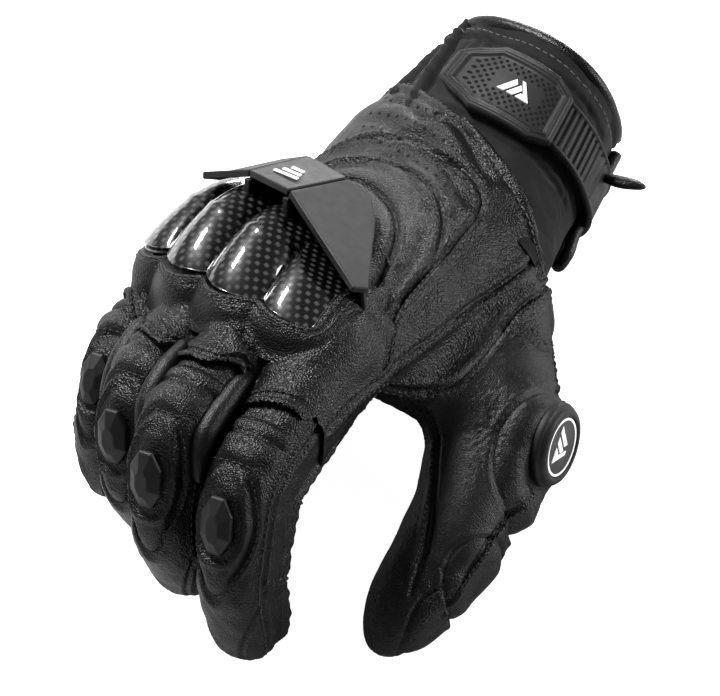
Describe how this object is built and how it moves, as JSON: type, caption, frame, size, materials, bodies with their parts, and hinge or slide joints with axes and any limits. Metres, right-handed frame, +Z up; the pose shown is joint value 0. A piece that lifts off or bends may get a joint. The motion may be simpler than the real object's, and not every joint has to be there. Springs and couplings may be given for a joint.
{
  "type": "riding glove",
  "caption": "Right-hand short-cuff leather riding glove with hard knuckle guard, vented cover, finger sliders, round thumb cap and wrist strap.",
  "frame": {"origin": "centre of the bounding box's underside, on the ground that the glove rests on, palm down", "axes": "+Z up, fingers towards -Y, thumb towards +X, cuff towards +Y"},
  "size_m": [0.1328, 0.2146, 0.0836],
  "materials": {
    "leather": "black goatskin, fine grain, semi-matte",
    "leather_pad": "black leather over foam, light sheen",
    "piping_leather": "thin black leather piping, slight gloss",
    "guard_carbon": "carbon weave under clear coat",
    "cover_plastic": "matte dark grey moulding",
    "slider_rubber": "dark grey moulded slider, satin",
    "strap_rubber": "dark grey moulded rubber, dimpled and ribbed",
    "cuff_fabric": "smooth charcoal stretch fabric over thin foam",
    "lining": "soft grey knit lining",
    "foam": "grey closed-cell foam",
    "hook_loop": "black hook-and-loop tape",
    "print_white": null
  },
  "bodies": {
    "hand": {"hand_shell": "leather", "hand_lining": "lining", "knuckle_guard": "guard_carbon", "guard_cover": "cover_plastic", "guard_fins": "cover_plastic", "cover_badge": "print_white", "knuckle_foam": "foam", "guard_welt": "leather", "perforated_panel": "leather", "knuckle_panel": "leather", "side_panel": "leather", "palm_patch": "leather_pad", "heel_pad": "leather_pad"},
    "index_proximal": {"index_proximal": "leather", "index_accordion": "leather"},
    "index_middle": {"index_middle": "leather", "index_pad": "leather_pad", "index_slider": "slider_rubber"},
    "index_tip": {"index_tip": "leather"},
    "middle_proximal": {"middle_proximal": "leather", "middle_accordion": "leather"},
    "middle_middle": {"middle_middle": "leather", "middle_pad": "leather_pad", "middle_slider": "slider_rubber"},
    "middle_tip": {"middle_tip": "leather"},
    "ring_proximal": {"ring_proximal": "leather", "ring_accordion": "leather"},
    "ring_middle": {"ring_middle": "leather", "ring_pad": "leather_pad", "ring_slider": "slider_rubber"},
    "ring_tip": {"ring_tip": "leather"},
    "little_proximal": {"little_proximal": "leather", "little_accordion": "leather"},
    "little_middle": {"little_middle": "leather", "little_pad": "leather_pad", "little_slider": "slider_rubber"},
    "little_tip": {"little_tip": "leather"},
    "thumb_base": {"thumb_base": "leather"},
    "thumb_middle": {"thumb_middle": "leather", "thumb_guard_pad": "leather_pad", "thumb_cap": "strap_rubber", "thumb_disc": "print_white", "thumb_patch": "leather_pad"},
    "thumb_tip": {"thumb_tip": "leather", "thumb_knuckle_pad": "leather_pad", "thumb_tip_pad": "leather_pad"},
    "cuff": {"cuff_shell": "cuff_fabric", "cuff_lining": "lining", "cuff_binding": "piping_leather", "slit_piping": "piping_leather", "loop_patch": "hook_loop", "strap_ribs": "strap_rubber", "pull_tab": "piping_leather"},
    "strap": {"strap_plate": "strap_rubber", "plate_badge": "print_white", "hook_patch": "hook_loop"}
  },
  "joints": [
    {"name": "index_knuckle", "type": "hinge", "parent": "hand", "child": "index_proximal", "pos_m": [0.00832, -0.03522, 0.0615], "axis": [0.9599, 0.1586, 0.2312], "range_deg": [-18, 40]},
    {"name": "index_middle_joint", "type": "hinge", "parent": "index_proximal", "child": "index_middle", "pos_m": [0.01662, -0.0814, 0.05871], "axis": [0.9599, 0.1586, 0.2312], "range_deg": [-34, 38]},
    {"name": "index_tip_joint", "type": "hinge", "parent": "index_middle", "child": "index_tip", "pos_m": [0.02446, -0.09738, 0.0371], "axis": [0.9599, 0.1586, 0.2312], "range_deg": [-23, 30]},
    {"name": "middle_knuckle", "type": "hinge", "parent": "hand", "child": "middle_proximal", "pos_m": [-0.01433, -0.03727, 0.05879], "axis": [0.9599, 0.1586, 0.2312], "range_deg": [-8, 50]},
    {"name": "middle_middle_joint", "type": "hinge", "parent": "middle_proximal", "child": "middle_middle", "pos_m": [-0.00793, -0.08354, 0.06397], "axis": [0.9599, 0.1586, 0.2312], "range_deg": [-50, 22]},
    {"name": "middle_tip_joint", "type": "hinge", "parent": "middle_middle", "child": "middle_tip", "pos_m": [0.00018, -0.09756, 0.03991], "axis": [0.9599, 0.1586, 0.2312], "range_deg": [-32, 21]},
    {"name": "ring_knuckle", "type": "hinge", "parent": "hand", "child": "ring_proximal", "pos_m": [-0.03553, -0.0335, 0.04933], "axis": [0.9599, 0.1586, 0.2312], "range_deg": [-6, 52]},
    {"name": "ring_middle_joint", "type": "hinge", "parent": "ring_proximal", "child": "ring_middle", "pos_m": [-0.03017, -0.07472, 0.05537], "axis": [0.9599, 0.1586, 0.2312], "range_deg": [-54, 18]},
    {"name": "ring_tip_joint", "type": "hinge", "parent": "ring_middle", "child": "ring_tip", "pos_m": [-0.02265, -0.08695, 0.03251], "axis": [0.9599, 0.1586, 0.2312], "range_deg": [-37, 16]},
    {"name": "little_knuckle", "type": "hinge", "parent": "hand", "child": "little_proximal", "pos_m": [-0.05654, -0.02624, 0.03563], "axis": [0.9599, 0.1586, 0.2312], "range_deg": [-6, 52]},
    {"name": "little_middle_joint", "type": "hinge", "parent": "little_proximal", "child": "little_middle", "pos_m": [-0.05214, -0.0601, 0.04059], "axis": [0.9599, 0.1586, 0.2312], "range_deg": [-35, 37]},
    {"name": "little_tip_joint", "type": "hinge", "parent": "little_middle", "child": "little_tip", "pos_m": [-0.04613, -0.07581, 0.0264], "axis": [0.9599, 0.1586, 0.2312], "range_deg": [-27, 26]},
    {"name": "thumb_base_joint", "type": "hinge", "parent": "hand", "child": "thumb_base", "pos_m": [0.01591, 0.02324, 0.02641], "axis": [0.0068, -0.1874, 0.9823], "range_deg": [-14, 10]},
    {"name": "thumb_knuckle", "type": "hinge", "parent": "thumb_base", "child": "thumb_middle", "pos_m": [0.03842, -0.00176, 0.02149], "axis": [0.0068, -0.1874, 0.9823], "range_deg": [-22, 16]},
    {"name": "thumb_tip_joint", "type": "hinge", "parent": "thumb_middle", "child": "thumb_tip", "pos_m": [0.05142, -0.03786, 0.01451], "axis": [0.0068, -0.1874, 0.9823], "range_deg": [-36, 11]},
    {"name": "wrist", "type": "hinge", "parent": "hand", "child": "cuff", "pos_m": [-0.01737, 0.05125, 0.02805], "axis": [0.9603, 0, 0.279], "range_deg": [-24, 14]},
    {"name": "strap_fold", "type": "hinge", "parent": "cuff", "child": "strap", "pos_m": [-0.00165, 0.07823, 0.05433], "axis": [-0.2942, 0.9555, -0.0219], "range_deg": [0, 110]}
  ],
  "couplings": [
    {"joint": "index_tip_joint", "follows": "index_middle_joint", "ratio": 0.62},
    {"joint": "middle_tip_joint", "follows": "middle_middle_joint", "ratio": 0.62},
    {"joint": "ring_tip_joint", "follows": "ring_middle_joint", "ratio": 0.62},
    {"joint": "little_tip_joint", "follows": "little_middle_joint", "ratio": 0.62}
  ]
}
